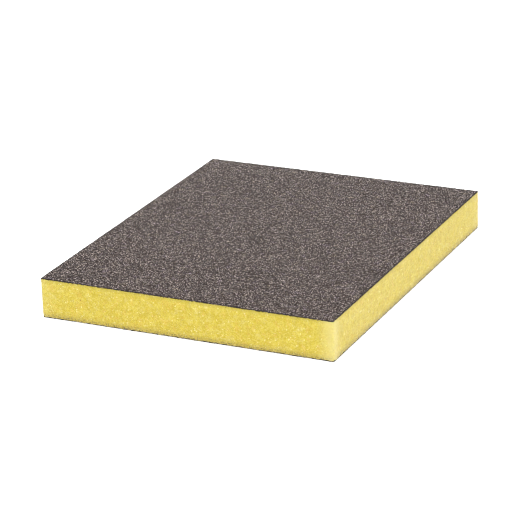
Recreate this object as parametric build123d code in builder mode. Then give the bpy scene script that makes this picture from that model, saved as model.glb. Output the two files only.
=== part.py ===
"""Flexible sanding block: a foam slab with an abrasive coating on each large face.

Millimetres, +Z up. The pad lies flat: +X runs along its short side, +Y along its long side,
and the origin is the centre of the lower working face.
"""

import os

from build123d import *

# Driving dimensions of the pad
pad_width = 98.0
pad_length = 120.0
pad_thickness = 13.0
corner_radius = 0.4

# The layers of one coating, from the foam outwards
make_coat_thickness = 0.12
grain_layer_thickness = 0.22
size_coat_thickness = 0.06

coating_thickness = make_coat_thickness + grain_layer_thickness + size_coat_thickness
foam_thickness = pad_thickness - 2 * coating_thickness

# Each face of the foam: its name, its height, and which way is outwards
foam_faces = [
    ("lower", coating_thickness, -1),
    ("upper", pad_thickness - coating_thickness, 1),
]

os.makedirs("parts", exist_ok=True)

# Foam core: the slab between the two coatings, with its cut sides bare
with BuildPart() as foam_core:
    with BuildSketch(Plane.XY.offset(coating_thickness)):
        RectangleRounded(pad_width, pad_length, corner_radius)
    extrude(amount=foam_thickness)

foam_core.part.label = "foam_core"
export_step(foam_core.part, "parts/foam_core.step")

for face_name, foam_height, outwards in foam_faces:
    # Make coat: the flexible resin that bonds the grain to the foam
    with BuildPart() as make_coat:
        with BuildSketch(Plane.XY.offset(foam_height)):
            RectangleRounded(pad_width, pad_length, corner_radius)
        extrude(amount=outwards * make_coat_thickness)

    make_coat.part.label = f"{face_name}_make_coat"
    export_step(make_coat.part, f"parts/{face_name}_make_coat.step")

    # Grain layer: the abrasive mineral, standing on the make coat
    grain_height = foam_height + outwards * make_coat_thickness
    with BuildPart() as grain_layer:
        with BuildSketch(Plane.XY.offset(grain_height)):
            RectangleRounded(pad_width, pad_length, corner_radius)
        extrude(amount=outwards * grain_layer_thickness)

    grain_layer.part.label = f"{face_name}_grain_layer"
    export_step(grain_layer.part, f"parts/{face_name}_grain_layer.step")

    # Size coat: the outermost resin film, which locks the grain in place
    size_coat_height = grain_height + outwards * grain_layer_thickness
    with BuildPart() as size_coat:
        with BuildSketch(Plane.XY.offset(size_coat_height)):
            RectangleRounded(pad_width, pad_length, corner_radius)
        extrude(amount=outwards * size_coat_thickness)

    size_coat.part.label = f"{face_name}_size_coat"
    export_step(size_coat.part, f"parts/{face_name}_size_coat.step")
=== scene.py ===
"""Looks of a flexible foam sanding pad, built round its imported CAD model.

The yellow foam core gets cut, open-cell sides. Each large face gets a dark bond line and a sheet
of abrasive grain with a ragged cut edge. Lengths are in metres, in the CAD model's frame. The
patterns in the materials are in millimetres.
"""

import math

import bpy
import numpy as np
from mathutils import Matrix, Vector


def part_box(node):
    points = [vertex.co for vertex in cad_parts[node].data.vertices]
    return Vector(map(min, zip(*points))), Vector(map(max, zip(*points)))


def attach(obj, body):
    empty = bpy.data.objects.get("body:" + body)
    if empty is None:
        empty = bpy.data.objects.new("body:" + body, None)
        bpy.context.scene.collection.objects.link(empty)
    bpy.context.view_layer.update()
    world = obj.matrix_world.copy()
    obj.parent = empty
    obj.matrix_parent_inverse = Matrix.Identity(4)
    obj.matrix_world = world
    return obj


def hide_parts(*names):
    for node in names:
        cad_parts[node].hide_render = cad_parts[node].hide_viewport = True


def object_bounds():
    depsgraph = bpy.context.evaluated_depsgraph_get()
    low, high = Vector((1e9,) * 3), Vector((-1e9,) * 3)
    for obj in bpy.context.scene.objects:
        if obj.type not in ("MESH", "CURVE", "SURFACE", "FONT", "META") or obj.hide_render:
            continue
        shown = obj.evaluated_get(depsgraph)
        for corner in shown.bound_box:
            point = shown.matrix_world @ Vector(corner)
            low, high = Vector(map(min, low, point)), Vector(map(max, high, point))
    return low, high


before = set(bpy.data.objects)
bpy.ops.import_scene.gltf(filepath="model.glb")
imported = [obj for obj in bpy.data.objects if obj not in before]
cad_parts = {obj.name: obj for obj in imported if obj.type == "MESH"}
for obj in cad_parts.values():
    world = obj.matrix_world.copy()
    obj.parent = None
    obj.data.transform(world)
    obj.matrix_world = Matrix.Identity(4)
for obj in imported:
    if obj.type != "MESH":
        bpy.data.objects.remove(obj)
cad_low, cad_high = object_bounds()

MM = 0.001
SEED = 98120

# Camera: where it stands round the pad, in degrees and metres
CAMERA_AZIMUTH = 25.89
CAMERA_ELEVATION = 21.16
CAMERA_ROLL = -2.01
CAMERA_DISTANCE = 0.8026
CAMERA_TARGET = Vector((-6.74 * MM, 7.59 * MM, 0.0))
CAMERA_LENS_MM = 171.55
CAMERA_SENSOR_MM = 36.0
CAMERA_CLIP = (0.01, 100.0)
PIXEL_FILTER_WIDTH = 1.0

# Studio: each lamp's name, azimuth, elevation, distance, size and power
LAMPS = (
    ("key_light", 60, 48, 1.2, 0.5, 5.0),
    ("fill_light", -30, 35, 1.4, 0.9, 3.0),
    ("back_light", 205, 32, 1.2, 0.5, 4.5),
)
SKY_STRENGTH = 0.62
FLOOR_HALF_SIZE = 30.0
FLOOR_GLOW = 0.45

# Foam core: its mesh, and the open cells, pores, grit and waves of its cut sides
CORNER_RADIUS = 0.70 * MM
FOAM_STEP = 0.25 * MM
CELL_SIZE = 0.55 * MM
CELL_REACH = 0.62 * CELL_SIZE
CELL_DEPTH = 0.075 * MM
PORE_SPACING = 3.4 * MM
PORE_SHARE = 0.22
PORE_REACH = 0.35 * MM
PORE_REACH_SPREAD = 2.2 * MM
PORE_DEPTH = 0.16 * MM
CUT_GRIT = 0.02 * MM
CUT_WAVE = 0.05 * MM
CUT_WAVE_LENGTHS = (7 * MM, 11 * MM, 19 * MM, 37 * MM)

# Foam core: how its sides turn in at the coatings, and the torn tufts there
LOWER_TUCK = 0.08 * MM
LOWER_TUCK_HEIGHT = 1.1 * MM
UPPER_TUCK = 0.03 * MM
UPPER_TUCK_HEIGHT = 0.5 * MM
LOWER_FRINGE = 0.38 * MM
UPPER_LIP = 0.10 * MM
UPPER_FRINGE = 0.22 * MM
TUFT_SPACING = 1.2 * MM
TUFT_REACH = 0.8 * TUFT_SPACING
CAP_INSET = 0.8 * MM

# Abrasive sheets and the bond lines under them
GRAIN_STEP = 0.37 * MM
GRAIN_RELIEF = 0.15 * MM
GRAIN_JITTER = 0.24
SHEET_INSET = {"upper": 0.01 * MM, "lower": 0.10 * MM}
SHEET_RAGGED = 0.15 * MM
SHEET_EDGE_DROP = 0.06 * MM
SHEET_BACK_RAGGED = 0.05 * MM
BOND_STEP = 0.35 * MM
BOND_INSET = {"upper": 0.08 * MM, "lower": 0.16 * MM}
BOND_RAGGED = 0.10 * MM

# Foam colours
DEEP_YELLOW = (0.640, 0.483, 0.016)
SOFT_YELLOW = (0.722, 0.570, 0.042)
ORANGE_PATCH = (0.770, 0.495, 0.080)
CHALKY_PATCH = (0.740, 0.620, 0.190)
PALE_MOTTLE = (0.83, 0.70, 0.14)
DARK_MOTTLE = (0.55, 0.41, 0.015)
CLEAR_SPOT = (0.86, 0.74, 0.13)
DULL_SPOT = (0.52, 0.38, 0.010)
PALE_TEAR = (0.91, 0.80, 0.20)
DARK_TEAR = (0.52, 0.34, 0.020)
# painted shade in the cut cells' bowls, and painted highlight on their walls
CELL_BOWL_SHADE = (0.46, 0.32, 0.012)
CELL_WALL_HIGHLIGHT = (0.88, 0.77, 0.18)
# pale skin films, partly real film colour and partly painted glint
FILM_AND_GLINT = (1.00, 0.93, 0.42)
# painted shade inside deep pores
PORE_SHADE = (0.36, 0.21, 0.012)
LOWER_DARKENING = (0.50, 0.38, 0.06)
DIRT = (0.17, 0.13, 0.04)
UPPER_DARKENING = (0.54, 0.43, 0.05)
SOAKED_RIM = (0.10, 0.07, 0.03)
# painted glow of light on the vertical edges
CORNER_GLOW_PAINT = (0.89, 0.785, 0.31)

# Foam pattern, in millimetres: each kind of skin film, painted bright as a glint, has a size, a rareness
# and a brightness
CUT_CELL_MM = 0.36
CUT_PORE_MM = 1.6
CUT_PORE_SHARE = 0.014
FILMS_AND_GLINTS = ((0.36, 0.930, 0.95), (0.62, 0.960, 0.75), (0.95, 0.970, 0.40))
STRETCH = 2.0

# Grain pattern, in millimetres, and its colours from the darkest grains to the brightest, spread wide so
# that the darkest also carry painted shade and the brightest painted glints
GRAIN_MM = 0.26
GRAIN_TONES_SHADE_AND_GLINTS = (
    (0.00, (0.014, 0.004, 0.002)),
    (0.36, (0.018, 0.006, 0.004)),
    (0.57, (0.042, 0.025, 0.020)),
    (0.74, (0.135, 0.099, 0.086)),
    (0.88, (0.484, 0.391, 0.350)),
    (1.00, (0.880, 0.728, 0.660)),
)
GAP_RESIN_AND_SHADE = (0.012, 0.003, 0.002)
BARE_RESIN = (0.020, 0.014, 0.010)
COOLER = (0.97, 0.93, 1.14)
WARMER = (1.02, 1.02, 0.88)

# Cut edges of the coating: light specks in dark resin
SHEET_SPECK = (0.420, 0.320, 0.160)
SHEET_RESIN = (0.010, 0.007, 0.005)
BOND_SPECK = (0.260, 0.190, 0.060)
BOND_RESIN = (0.012, 0.008, 0.005)


# ---------------------------------------------------------------- node graphs

def rgb(red, green, blue):
    return (red, green, blue, 1.0)


class Graph:
    """A material's nodes, with one short call for each kind that is used here."""

    def __init__(self, name):
        self.material = bpy.data.materials.new(name)
        self.material.use_nodes = True
        self.tree = self.material.node_tree
        self.surface = self.tree.nodes["Principled BSDF"]
        coordinates = self.tree.nodes.new("ShaderNodeTexCoord")
        to_mm = self.tree.nodes.new("ShaderNodeMapping")
        to_mm.inputs["Scale"].default_value = (1 / MM, 1 / MM, 1 / MM)
        self.tree.links.new(coordinates.outputs["Object"], to_mm.inputs["Vector"])
        self.place = to_mm.outputs["Vector"]

    def feed(self, socket, value):
        """Sets a socket to a value, or links it if the value is another node's output."""
        if isinstance(value, bpy.types.NodeSocket):
            self.tree.links.new(value, socket)
        else:
            socket.default_value = value

    def math(self, operation, first, second=0.0):
        node = self.tree.nodes.new("ShaderNodeMath")
        node.operation = operation
        self.feed(node.inputs[0], first)
        self.feed(node.inputs[1], second)
        return node.outputs[0]

    def ramp(self, value, low, high, start=0.0, end=1.0):
        """Runs smoothly from start to end as value goes from low to high."""
        node = self.tree.nodes.new("ShaderNodeMapRange")
        node.interpolation_type = "SMOOTHSTEP"
        self.feed(node.inputs["Value"], value)
        for name, number in (("From Min", low), ("From Max", high), ("To Min", start), ("To Max", end)):
            node.inputs[name].default_value = number
        return node.outputs["Result"]

    def mix(self, factor, first, second, blend="MIX"):
        node = self.tree.nodes.new("ShaderNodeMix")
        node.data_type = "RGBA"
        node.blend_type = blend
        self.feed(node.inputs[0], factor)
        self.feed(node.inputs[6], first)
        self.feed(node.inputs[7], second)
        return node.outputs[2]

    def tint(self, tone, colour, strength, value, low, high, where=None):
        """Mixes in a colour: not at all where value is at low, and by strength where it is at high."""
        share = self.ramp(value, low, high, 0.0, strength)
        if where is not None:
            share = self.math("MULTIPLY", where, share)
        return self.mix(share, tone, rgb(*colour))

    def noise(self, size_mm, detail=2.0, roughness=0.5, place=None):
        """Noise of about that feature size, from 0 to 1."""
        node = self.tree.nodes.new("ShaderNodeTexNoise")
        self.feed(node.inputs["Vector"], place or self.place)
        node.inputs["Scale"].default_value = 1 / size_mm
        node.inputs["Detail"].default_value = detail
        node.inputs["Roughness"].default_value = roughness
        return node.outputs["Fac"]

    def warped(self, size_mm, reach_mm):
        """The point's place, pushed about by noise, so that what is drawn there has no clean outline."""
        noise = self.tree.nodes.new("ShaderNodeTexNoise")
        self.feed(noise.inputs["Vector"], self.place)
        noise.inputs["Scale"].default_value = 1 / size_mm
        noise.inputs["Detail"].default_value = 1.0
        push = self.tree.nodes.new("ShaderNodeVectorMath")
        push.operation = "MULTIPLY_ADD"
        self.feed(push.inputs[0], noise.outputs["Color"])
        push.inputs[1].default_value = (reach_mm, reach_mm, reach_mm)
        self.feed(push.inputs[2], self.place)
        return push.outputs[0]

    def drawn_out(self, place):
        """The place squeezed along Y, so that what is drawn there is STRETCH times longer in Y."""
        node = self.tree.nodes.new("ShaderNodeVectorMath")
        node.operation = "MULTIPLY"
        self.feed(node.inputs[0], place)
        node.inputs[1].default_value = (1.0, 1 / STRETCH, 1.0)
        return node.outputs[0]

    def cells(self, size_mm, place=None):
        """Random cells of that size: a point's distance to its cell's middle, and two random numbers."""
        node = self.tree.nodes.new("ShaderNodeTexVoronoi")
        self.feed(node.inputs["Vector"], place or self.place)
        node.inputs["Scale"].default_value = 1 / size_mm
        split = self.tree.nodes.new("ShaderNodeSeparateColor")
        self.tree.links.new(node.outputs["Color"], split.inputs[0])
        return node.outputs["Distance"], split.outputs[0], split.outputs[1]

    def axis(self, letter):
        """One coordinate of the point, in millimetres."""
        split = self.tree.nodes.new("ShaderNodeSeparateXYZ")
        self.tree.links.new(self.place, split.inputs[0])
        return split.outputs[letter]

    def from_side(self):
        """Distances from the nearest side and, for a point on a side, from the nearest vertical edge."""
        from_x = self.math("SUBTRACT", cad_high.x / MM, self.math("ABSOLUTE", self.axis("X")))
        from_y = self.math("SUBTRACT", cad_high.y / MM, self.math("ABSOLUTE", self.axis("Y")))
        return self.math("MINIMUM", from_x, from_y), self.math("MAXIMUM", from_x, from_y)

    def colours(self, value, stops):
        """A colour ramp: stops are (position, colour), in order, and run from 0 to 1."""
        node = self.tree.nodes.new("ShaderNodeValToRGB")
        self.feed(node.inputs[0], value)
        ramp = node.color_ramp
        for position, _ in stops[1:-1]:
            ramp.elements.new(position)
        for element, (_, colour) in zip(ramp.elements, stops):
            element.color = rgb(*colour)
        return node.outputs["Color"]

    def bump(self, height, distance_mm, strength):
        node = self.tree.nodes.new("ShaderNodeBump")
        node.inputs["Distance"].default_value = distance_mm * MM
        node.inputs["Strength"].default_value = strength
        self.feed(node.inputs["Height"], height)
        self.feed(self.surface.inputs["Normal"], node.outputs["Normal"])

    def set(self, **values):
        """Sets the surface shader's sockets, with underscores for spaces."""
        for name, value in values.items():
            self.feed(self.surface.inputs[name.replace("_", " ")], value)


# ---------------------------------------------------------------- foam material

def foam_tone(g):
    """The foam's own yellow, which drifts a little from place to place."""
    drift = g.ramp(g.noise(2.6, 3.0), 0.35, 0.65)
    tone = g.mix(drift, rgb(*DEEP_YELLOW), rgb(*SOFT_YELLOW))
    patches = g.noise(1.9, 3.0, 0.6)
    tone = g.tint(tone, ORANGE_PATCH, 0.45, patches, 0.52, 0.68)
    tone = g.tint(tone, CHALKY_PATCH, 0.50, patches, 0.46, 0.32)
    mottle = g.noise(1.2, 2.0, 0.6, g.drawn_out(g.place))
    tone = g.tint(tone, PALE_MOTTLE, 0.28, mottle, 0.52, 0.66)
    tone = g.tint(tone, DARK_MOTTLE, 0.24, mottle, 0.47, 0.33)
    tone = g.tint(tone, CLEAR_SPOT, 0.27, g.noise(0.7, 3.0, 0.65), 0.50, 0.66)
    return g.tint(tone, DULL_SPOT, 0.25, g.noise(0.55, 3.0, 0.65), 0.50, 0.38)


def add_tears(g, tone, side_x):
    """Tears on the +X side, which was cut rougher than the others."""
    rough_cut = g.ramp(g.axis("X"), side_x - 1.5, side_x - 0.5)
    tear = g.noise(0.55, 2.0, 0.6, g.drawn_out(g.place))
    tone = g.tint(tone, PALE_TEAR, 0.35, tear, 0.54, 0.70, where=rough_cut)
    return g.tint(tone, DARK_TEAR, 0.75, tear, 0.46, 0.32, where=rough_cut)


def add_films_and_glints(g, tone, up, place):
    """Films of pale skin across the cut cells, brightened into painted glints, in crowds, with more of
    them low down.
    """
    crowd = g.math("MULTIPLY", g.ramp(g.noise(3.2, 2.0), 0.42, 0.62), g.ramp(up, 1.0, 7.0, 1.0, 0.25))
    for size, rareness, brightness in FILMS_AND_GLINTS:
        distance, chance, shade = g.cells(size, place)
        threshold = g.math("SUBTRACT", rareness, g.math("MULTIPLY", crowd, 0.15))
        is_film_and_glint = g.math("GREATER_THAN", chance, threshold)
        bright = g.math("MULTIPLY", is_film_and_glint, g.ramp(shade, 0.1, 1.0, 0.08, brightness))
        # painted glint: pale film colour, strongest at each film's middle
        tone = g.tint(tone, FILM_AND_GLINT, 1.0, distance, 0.60, 0.15, where=bright)
    return tone


def add_pores(g, tone):
    """A few deep pores, with painted shade inside them."""
    distance, chance, _ = g.cells(CUT_PORE_MM)
    is_pore = g.math("LESS_THAN", chance, CUT_PORE_SHARE)
    return g.tint(tone, PORE_SHADE, 0.75, distance, 0.24, 0.10, where=is_pore)


def add_edge_marks(g, tone, up, down, place, farthest):
    """Darker foam with dark specks of dirt along the lower edge, darker foam and soaked-in resin along
    the upper one, and a painted glow of light on the vertical edges.
    """
    # the foam is darker towards the bottom
    tone = g.tint(tone, LOWER_DARKENING, 0.66, up, 2.8, -0.3)
    specks = g.ramp(g.noise(0.42, 2.0, 0.6, place), 0.50, 0.60)
    tone = g.tint(tone, DIRT, 0.95, up, 1.6, 0.0, where=specks)
    # the foam is darker towards the top
    tone = g.tint(tone, UPPER_DARKENING, 0.55, down, 1.3, 0.1)
    soaked = g.math("SUBTRACT", g.math("MULTIPLY", g.noise(0.45, 2.0, 0.6), 1.6), down)
    tone = g.tint(tone, SOAKED_RIM, 0.90, soaked, 0.88, 0.98)

    # painted glow of light on the vertical edges, strongest at the edge at +X and -Y, where X - Y is
    # greatest
    across = g.math("SUBTRACT", g.axis("X"), g.axis("Y"))
    corner_glow = g.ramp(across, farthest - 21.0, farthest - 7.0, 0.15, 0.55)
    _, from_edge = g.from_side()
    return g.tint(tone, CORNER_GLOW_PAINT, 1.0, from_edge, 6.2, 0.4, where=corner_glow)


def foam_material(low, high):
    """Yellow open-cell polyurethane foam, cut through its cells."""
    g = Graph("yellow_foam")
    up = g.math("SUBTRACT", g.axis("Z"), low.z / MM)
    down = g.math("SUBTRACT", high.z / MM, g.axis("Z"))
    tone = add_tears(g, foam_tone(g), high.x / MM)

    # cut cells: each one with painted shade in its bowl and a painted highlight on its wall
    bowl, chance, _ = g.cells(CUT_CELL_MM, g.drawn_out(g.warped(0.5, 0.3)))
    tone = g.tint(tone, CELL_BOWL_SHADE, 0.55, bowl, 0.45, 0.05, where=g.ramp(chance, 0.1, 0.9, 0.2, 1.0))
    tone = g.tint(tone, CELL_WALL_HIGHLIGHT, 0.38, bowl, 0.48, 0.75)

    film_place = g.drawn_out(g.warped(0.35, 0.25))
    tone = add_films_and_glints(g, tone, up, film_place)
    tone = add_pores(g, tone)
    tone = add_edge_marks(g, tone, up, down, film_place, (high.x - low.y) / MM)

    g.bump(g.math("ADD", g.math("MULTIPLY", bowl, 1.2), g.noise(0.20, 3.0, 0.6)), 0.14, 0.9)

    # gloss varies from one patch to the next, and the patches are as large as the largest films
    _, _, gloss = g.cells(FILMS_AND_GLINTS[-1][0], film_place)
    g.set(Base_Color=tone, Roughness=g.ramp(gloss, 0.0, 1.0, 0.62, 0.86))
    g.set(Subsurface_Weight=0.12, Subsurface_Scale=1.0, Sheen_Weight=0.30, Sheen_Roughness=0.5)
    g.set(Subsurface_Radius=(1.2 * MM, 0.9 * MM, 0.3 * MM))
    return g.material


# ---------------------------------------------------------------- coating materials

def grain_material(name):
    """Grey-brown aluminium oxide grain in dark resin."""
    g = Graph(name)
    distance, chance, gloss = g.cells(GRAIN_MM)
    # grain colours, widened into painted shade at the dark end and painted glints at the bright end
    tone = g.colours(chance, GRAIN_TONES_SHADE_AND_GLINTS)
    # dark resin and painted shade at each grain's edge
    tone = g.tint(tone, GAP_RESIN_AND_SHADE, 0.60, distance, 0.38, 0.68)
    tone = g.mix(1.0, tone, g.ramp(g.noise(9.0, 3.0), 0.3, 0.7, 0.95, 1.05), "MULTIPLY")

    # faint patches of cooler and warmer grain
    hue = g.noise(2.6, 1.0)
    tone = g.mix(g.ramp(hue, 0.58, 0.72), tone, g.mix(1.0, tone, rgb(*COOLER), "MULTIPLY"))
    tone = g.mix(g.ramp(hue, 0.42, 0.28), tone, g.mix(1.0, tone, rgb(*WARMER), "MULTIPLY"))

    # the cut has knocked grain out of the outermost rim, and dark resin shows there
    from_rim, _ = g.from_side()
    uneven = g.math("SUBTRACT", from_rim, g.math("MULTIPLY", g.noise(0.8, 2.0, 0.6), 1.1))
    tone = g.tint(tone, BARE_RESIN, 0.85, uneven, 0.09, -0.20)

    g.bump(g.math("SUBTRACT", g.noise(0.18, 3.0, 0.65), g.math("MULTIPLY", distance, 0.9)), 0.12, 0.9)
    g.set(Base_Color=tone, Roughness=g.ramp(gloss, 0.0, 1.0, 0.36, 0.70), Specular_IOR_Level=0.15)
    return g.material


def edge_material(name, light, dark):
    """Dark resin with light specks, as a coating's cut edge shows."""
    g = Graph(name)
    speck = g.ramp(g.noise(0.8, 3.0, 0.65, g.drawn_out(g.place)), 0.49, 0.62)
    g.bump(g.noise(0.25, 3.0, 0.6), 0.08, 0.8)
    g.set(Base_Color=g.mix(speck, rgb(*dark), rgb(*light)), Roughness=g.ramp(speck, 0.0, 1.0, 0.6, 0.85))
    g.set(Specular_IOR_Level=0.08)
    return g.material


# ---------------------------------------------------------------- mesh tools

def new_piece(name, points, faces, materials, smooth):
    """A mesh object from points and faces."""
    mesh = bpy.data.meshes.new(name)
    mesh.from_pydata(points, [], faces)
    for material in materials:
        mesh.materials.append(material)
    mesh.polygons.foreach_set("use_smooth", [smooth] * len(mesh.polygons))
    mesh.validate()
    mesh.update()
    piece = bpy.data.objects.new(name, mesh)
    bpy.context.scene.collection.objects.link(piece)
    return piece


def rounded_outline(half_x, half_y, radius, step):
    """Points anticlockwise round a rounded rectangle: places, outward normals, runs and total length."""
    places, normals = [], []
    for sign_x, sign_y, start in ((1, -1, -90), (1, 1, 0), (-1, 1, 90), (-1, -1, 180)):
        centre = np.array([sign_x * (half_x - radius), sign_y * (half_y - radius)])
        turns = max(2, round(math.pi / 2 * radius / step))
        for angle in np.radians(np.linspace(start, start + 90, turns + 1)):
            normal = np.array([math.cos(angle), math.sin(angle)])
            places.append(centre + radius * normal)
            normals.append(normal)
        straight = 2 * (half_y - radius) if sign_x != sign_y else 2 * (half_x - radius)
        along = np.array([-normals[-1][1], normals[-1][0]])
        pieces = round(straight / step)
        for _ in range(1, pieces):
            places.append(places[-1] + along * straight / pieces)
            normals.append(normals[-1])
    places, normals = np.array(places), np.array(normals)
    gaps = np.linalg.norm(np.roll(places, -1, axis=0) - places, axis=1)
    run = np.concatenate([[0.0], np.cumsum(gaps)[:-1]])
    return places, normals, run, gaps.sum()


def cell_pattern(run, rise, size, total, rng):
    """Random cells over a strip that closes on itself: distance to the nearest middle, and its number."""
    columns = max(3, round(total / size))
    width = total / columns
    rows = int(math.ceil(rise.max() / size)) + 3
    shift_u, shift_v, number = rng.random((3, columns, rows))
    column = np.floor(run / width).astype(int)
    row = np.floor(rise / size).astype(int) + 1
    nearest = np.full(run.shape, np.inf)
    found = np.zeros(run.shape)
    for du in (-1, 0, 1):
        for dv in (-1, 0, 1):
            c, r = (column + du) % columns, row + dv
            gap_u = (column + du + shift_u[c, r]) * width - run
            gap_v = (row + dv - 1 + shift_v[c, r]) * size - rise
            gap = np.hypot(gap_u, gap_v)
            closer = gap < nearest
            nearest = np.where(closer, gap, nearest)
            found = np.where(closer, number[c, r], found)
    return nearest, found


def waves(run, total, rng, lengths):
    """A sum of gentle waves of about those lengths, which closes on itself, from -1 to 1."""
    value = np.zeros_like(run)
    for length in lengths:
        turns = max(1, round(total / length))
        value += np.sin(2 * math.pi * (turns * run / total + rng.random()))
    return value / len(lengths)


def dome(distance, reach):
    """A rounded bump, from 1 at its middle to 0 at its reach and beyond."""
    return (1 - (distance / reach) ** 2).clip(0)


def grid_faces(columns, rows):
    """Quads of a tube with that many columns round and rows up."""
    faces = []
    for j in range(rows - 1):
        for i in range(columns):
            k = (i + 1) % columns
            faces.append((j * columns + i, j * columns + k, (j + 1) * columns + k, (j + 1) * columns + i))
    return faces


# ---------------------------------------------------------------- foam core

def cut_depth(run, rise, total, rng):
    """How deep the cut sides are hollowed, by open cells, pores, grit and gentle waves."""
    distance, number = cell_pattern(run, rise, CELL_SIZE, total, rng)
    depth = dome(distance, CELL_REACH) * CELL_DEPTH * (0.4 + 0.6 * number)
    distance, number = cell_pattern(run, rise, PORE_SPACING, total, rng)
    pore = dome(distance, PORE_REACH + PORE_REACH_SPREAD * number) * PORE_DEPTH
    depth += np.where(number < PORE_SHARE, pore, 0.0)
    depth += rng.random(run.shape) * CUT_GRIT
    depth += (1 - waves(run, total, rng, CUT_WAVE_LENGTHS)) * CUT_WAVE / 2
    return depth


def tufts(run, total, rng):
    """Random tufts of torn foam along a strip that closes on itself, from 0 to 1."""
    distance, number = cell_pattern(run, np.zeros_like(run), TUFT_SPACING, total, rng)
    return number * dome(distance, TUFT_REACH) * rng.uniform(0.6, 1.0, run.shape)


def make_foam(low, high, material, rng):
    """The foam slab: four cut sides with open cells, pores and soft edges, closed above and below."""
    places, normals, run, total = rounded_outline(high.x, high.y, CORNER_RADIUS, FOAM_STEP)
    thickness = high.z - low.z
    columns, rows = len(places), round(thickness / FOAM_STEP) + 1
    along, rise = np.meshgrid(run, np.linspace(0.0, thickness, rows))
    inwards = cut_depth(along, rise, total, rng)
    inwards += (1 - rise / LOWER_TUCK_HEIGHT).clip(0) ** 2 * LOWER_TUCK
    inwards += (1 - (thickness - rise) / UPPER_TUCK_HEIGHT).clip(0) ** 2 * UPPER_TUCK

    # torn cells hang a little past the cut at the first and last rows
    z = low.z + rise
    z[0] -= tufts(run, total, rng) * LOWER_FRINGE
    z[-1] += UPPER_LIP + tufts(run, total, rng) * UPPER_FRINGE
    sides = np.dstack([places - normals * inwards[:, :, None], z]).reshape(-1, 3)

    # a flat rim and a middle point close each end
    rim = places - normals * CAP_INSET
    lower_rim = np.column_stack([rim, np.full(columns, low.z)])
    upper_rim = np.column_stack([rim, np.full(columns, high.z)])
    points = np.vstack([lower_rim, sides, upper_rim, [[0, 0, low.z], [0, 0, high.z]]])
    faces = grid_faces(columns, rows + 2)
    upper_start = (rows + 1) * columns
    lower_middle = upper_start + columns
    for i in range(columns):
        k = (i + 1) % columns
        faces.append((lower_middle, k, i))
        faces.append((lower_middle + 1, upper_start + i, upper_start + k))
    return new_piece("foam_block", points.tolist(), faces, [material], True)


# ---------------------------------------------------------------- coatings

def into_corners(x, y, half_x, half_y):
    """The places, with those that lie outside the rounded corners pulled back onto them."""
    gap_x = (np.abs(x) - (half_x - CORNER_RADIUS)).clip(0)
    gap_y = (np.abs(y) - (half_y - CORNER_RADIUS)).clip(0)
    reach = np.maximum(np.hypot(gap_x, gap_y), 1e-9)
    shrink = np.where((gap_x > 0) & (gap_y > 0), (CORNER_RADIUS / reach).clip(None, 1.0), 1.0)
    pulled_x = np.where(gap_x > 0, half_x - CORNER_RADIUS + gap_x * shrink, np.abs(x))
    pulled_y = np.where(gap_y > 0, half_y - CORNER_RADIUS + gap_y * shrink, np.abs(y))
    return np.sign(x) * pulled_x, np.sign(y) * pulled_y


def grain_places(half_x, half_y, rng):
    """A jittered grid over a face, with a ragged edge: X, Y, and which places are on that edge."""
    columns, rows = round(2 * half_x / GRAIN_STEP) + 1, round(2 * half_y / GRAIN_STEP) + 1
    x, y = np.meshgrid(np.linspace(-half_x, half_x, columns), np.linspace(-half_y, half_y, rows))
    x += rng.uniform(-1, 1, x.shape) * GRAIN_JITTER * GRAIN_STEP
    y += rng.uniform(-1, 1, y.shape) * GRAIN_JITTER * GRAIN_STEP
    edge_x, edge_y = np.zeros(x.shape, bool), np.zeros(x.shape, bool)
    edge_x[:, [0, -1]] = True
    edge_y[[0, -1], :] = True
    x = np.where(edge_x, np.sign(x) * (half_x - rng.random(x.shape) * SHEET_RAGGED), x)
    y = np.where(edge_y, np.sign(y) * (half_y - rng.random(y.shape) * SHEET_RAGGED), y)
    x, y = into_corners(x, y, half_x, half_y)
    return x, y, edge_x | edge_y


def grain_facets(columns, rows, rng):
    """Triangles over a grid, with each square cut along one diagonal at random."""
    flips = rng.random((rows, columns)) < 0.5
    faces = []
    for j in range(rows - 1):
        for i in range(columns - 1):
            a, b = j * columns + i, j * columns + i + 1
            d, c = a + columns, b + columns
            faces.extend(((a, b, c), (a, c, d)) if flips[j, i] else ((a, b, d), (b, c, d)))
    return faces


def edge_ring(columns, rows):
    """A grid's edge points, once round."""
    ring = list(range(columns))
    ring += [j * columns + columns - 1 for j in range(1, rows)]
    ring += [(rows - 1) * columns + i for i in range(columns - 2, -1, -1)]
    ring += [j * columns for j in range(rows - 2, 0, -1)]
    return ring


def make_grain_sheet(side, low, high, outwards, materials, rng):
    """A sheet of faceted grain: rough outside, flat where it meets the bond, with a ragged cut edge."""
    x, y, on_edge = grain_places(high.x - SHEET_INSET[side], high.y - SHEET_INSET[side], rng)
    rows, columns = x.shape
    outer, inner = (high.z, low.z) if outwards > 0 else (low.z, high.z)
    z = outer - outwards * rng.random(x.shape) * GRAIN_RELIEF
    z[on_edge] -= outwards * SHEET_EDGE_DROP
    points = np.dstack([x, y, z]).reshape(-1, 3).tolist()
    faces = grain_facets(columns, rows, rng)
    facet_count = len(faces)

    # the cut edge, down to a flat back
    ring = edge_ring(columns, rows)
    back = len(points)
    for index in ring:
        shrink = 1 - rng.random() * SHEET_BACK_RAGGED / high.x
        points.append((points[index][0] * shrink, points[index][1] * shrink, inner))
    count = len(ring)
    for k in range(count):
        n = (k + 1) % count
        faces.append((ring[n], ring[k], back + k, back + n))
    faces.append(tuple(range(back, back + count)))
    if outwards < 0:
        faces = [tuple(reversed(face)) for face in faces]

    sheet = new_piece(f"{side}_grain_sheet", points, faces, materials, False)
    slots = np.zeros(len(sheet.data.polygons), dtype=np.int32)
    slots[facet_count:] = 1
    sheet.data.polygons.foreach_set("material_index", slots)
    return sheet


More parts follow.
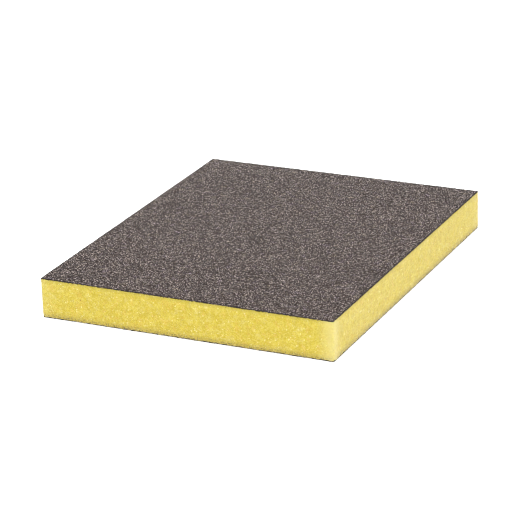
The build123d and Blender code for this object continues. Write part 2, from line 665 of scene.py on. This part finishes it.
def make_bond(side, low, high, material, rng):
    """The thin bond line: a flat film whose cut edge is uneven."""
    half_x, half_y = high.x - BOND_INSET[side], high.y - BOND_INSET[side]
    places, normals, _, _ = rounded_outline(half_x, half_y, CORNER_RADIUS, BOND_STEP)
    columns = len(places)
    points = []
    for height in (low.z, (low.z + high.z) / 2, high.z):
        ragged = rng.random(columns) * BOND_RAGGED
        edge = places - normals * ragged[:, None]
        points += [(x, y, height) for x, y in edge]
    faces = grid_faces(columns, 3)
    faces.append(tuple(reversed(range(columns))))
    faces.append(tuple(range(2 * columns, 3 * columns)))
    return new_piece(f"{side}_bond_line", points, faces, [material], False)


def make_coatings(grain, edge, bond):
    """Both faces' bond lines and grain sheets."""
    for number, (side, outwards) in enumerate((("upper", 1), ("lower", -1))):
        rng = np.random.default_rng(SEED + 10 * (number + 1))
        film = make_bond(side, *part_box(f"{side}_make_coat"), bond, rng)
        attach(film, "root")
        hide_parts(f"{side}_make_coat")

        grain_low, grain_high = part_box(f"{side}_grain_layer")
        size_low, size_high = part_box(f"{side}_size_coat")
        low = Vector((grain_low.x, grain_low.y, min(grain_low.z, size_low.z)))
        high = Vector((grain_high.x, grain_high.y, max(grain_high.z, size_high.z)))
        sheet = make_grain_sheet(side, low, high, outwards, [grain, edge], rng)
        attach(sheet, "root")
        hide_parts(f"{side}_grain_layer", f"{side}_size_coat")


# ---------------------------------------------------------------- studio

def direction(azimuth, elevation):
    """The unit vector from the pad towards a place that far round from -Y and above the horizon."""
    a, e = math.radians(azimuth), math.radians(elevation)
    return Vector((math.sin(a) * math.cos(e), -math.cos(a) * math.cos(e), math.sin(e)))


def make_floor():
    """A pale floor that glows a little, as a light table does, so that the shadow stays faint."""
    size = FLOOR_HALF_SIZE
    corners = [(-size, -size, 0), (size, -size, 0), (size, size, 0), (-size, size, 0)]
    g = Graph("pale_floor")
    g.set(Base_Color=rgb(0.9, 0.9, 0.9), Roughness=0.9, Specular_IOR_Level=0.0)
    g.set(Emission_Color=rgb(1.0, 1.0, 1.0), Emission_Strength=FLOOR_GLOW)
    floor = new_piece("floor", corners, [(0, 1, 2, 3)], [g.material], False)


def make_lamp(name, azimuth, elevation, distance, size, power):
    """A soft square lamp that faces the pad from that direction, in degrees."""
    data = bpy.data.lights.new(name, "AREA")
    data.size = size
    data.energy = power
    lamp = bpy.data.objects.new(name, data)
    bpy.context.scene.collection.objects.link(lamp)
    back = direction(azimuth, elevation)
    lamp.location = back * distance
    lamp.rotation_euler = (-back).to_track_quat("-Z", "Y").to_euler()


def make_studio():
    """The floor, an even white sky and the lamps."""
    make_floor()
    world = bpy.data.worlds.new("studio")
    bpy.context.scene.world = world
    world.use_nodes = True
    background = world.node_tree.nodes["Background"]
    background.inputs["Color"].default_value = rgb(1.0, 1.0, 1.0)
    background.inputs["Strength"].default_value = SKY_STRENGTH
    for lamp in LAMPS:
        make_lamp(*lamp)
    bpy.context.scene.view_settings.view_transform = "Standard"


def make_camera():
    """The camera, which is turned by its roll about the line to its target."""
    back = direction(CAMERA_AZIMUTH, CAMERA_ELEVATION)
    a, roll = math.radians(CAMERA_AZIMUTH), math.radians(CAMERA_ROLL)
    level = Vector((math.cos(a), math.sin(a), 0.0))
    upright = back.cross(level)
    right = math.cos(roll) * level + math.sin(roll) * upright
    up = math.cos(roll) * upright - math.sin(roll) * level
    data = bpy.data.cameras.new("camera")
    data.sensor_width = CAMERA_SENSOR_MM
    data.lens = CAMERA_LENS_MM
    data.clip_start, data.clip_end = CAMERA_CLIP
    camera = bpy.data.objects.new("camera", data)
    bpy.context.scene.collection.objects.link(camera)
    turn = Matrix((right, up, back)).transposed().to_4x4()
    camera.matrix_world = Matrix.Translation(CAMERA_TARGET + back * CAMERA_DISTANCE) @ turn
    bpy.context.scene.camera = camera

    # a pixel filter narrower than Blender's own 1.5 keeps the grain crisp
    bpy.context.scene.cycles.filter_width = PIXEL_FILTER_WIDTH


# ---------------------------------------------------------------- the whole scene

make_camera()
make_studio()

foam_low, foam_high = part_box("foam_core")
foam = make_foam(foam_low, foam_high, foam_material(foam_low, foam_high), np.random.default_rng(SEED))
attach(foam, "root")
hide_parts("foam_core")

make_coatings(
    grain_material("abrasive_grain"),
    edge_material("cut_grain_edge", SHEET_SPECK, SHEET_RESIN),
    edge_material("bond_resin", BOND_SPECK, BOND_RESIN),
)
